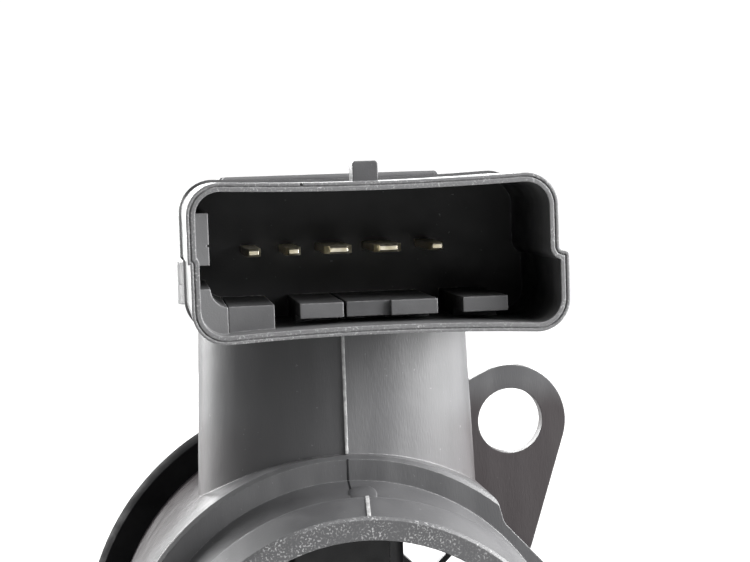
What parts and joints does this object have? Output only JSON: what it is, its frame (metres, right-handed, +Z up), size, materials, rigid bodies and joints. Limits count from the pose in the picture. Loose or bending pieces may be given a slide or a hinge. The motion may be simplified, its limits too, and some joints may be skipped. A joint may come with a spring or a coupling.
{
  "type": "mass airflow sensor",
  "caption": "Moulded air duct with a hose spigot, fixing lugs and a tower that carries a plug-in sensing module with a wide blade connector.",
  "frame": {"origin": "centre of the outlet mouth, on the duct axis", "axes": "+Y along the duct from the outlet to the inlet, +Z up the tower, the connector opens towards -Y"},
  "size_m": [0.0572, 0.052, 0.0871],
  "materials": {
    "housing_plastic": "satin moulded, glass filled",
    "module_plastic": "satin moulded, glass filled",
    "cover_plastic": "satin moulded",
    "seal_rubber": "matt rubber",
    "grille_plastic": "satin moulded",
    "spring_steel": "bright spring wire",
    "screw_steel": "zinc plated",
    "terminal_brass": "tinned brass",
    "board_laminate": "resist coated laminate",
    "chip_plastic": "moulded epoxy",
    "capacitor_ceramic": "fired ceramic",
    "carrier_ceramic": "white ceramic",
    "film_silicon": "polished silicon",
    "lead_wire": "tinned wire",
    "bead_epoxy": "dipped epoxy"
  },
  "bodies": {
    "root": {"capacitors": "capacitor_ceramic", "circuit_board": "board_laminate", "duct_housing": "housing_plastic", "inlet_grille": "grille_plastic", "inlet_seal": "seal_rubber", "module_body": "module_plastic", "module_cover": "cover_plastic", "module_screws": "screw_steel", "probe_cover": "cover_plastic", "retaining_ring": "spring_steel", "sensing_chip": "film_silicon", "sensor_carrier": "carrier_ceramic", "sensor_leads": "lead_wire", "sensor_probe": "module_plastic", "signal_chip": "chip_plastic", "stem_seal": "seal_rubber", "temperature_bead": "bead_epoxy", "terminal_1": "terminal_brass", "terminal_2": "terminal_brass", "terminal_3": "terminal_brass", "terminal_4": "terminal_brass", "terminal_5": "terminal_brass"}
  },
  "joints": []
}
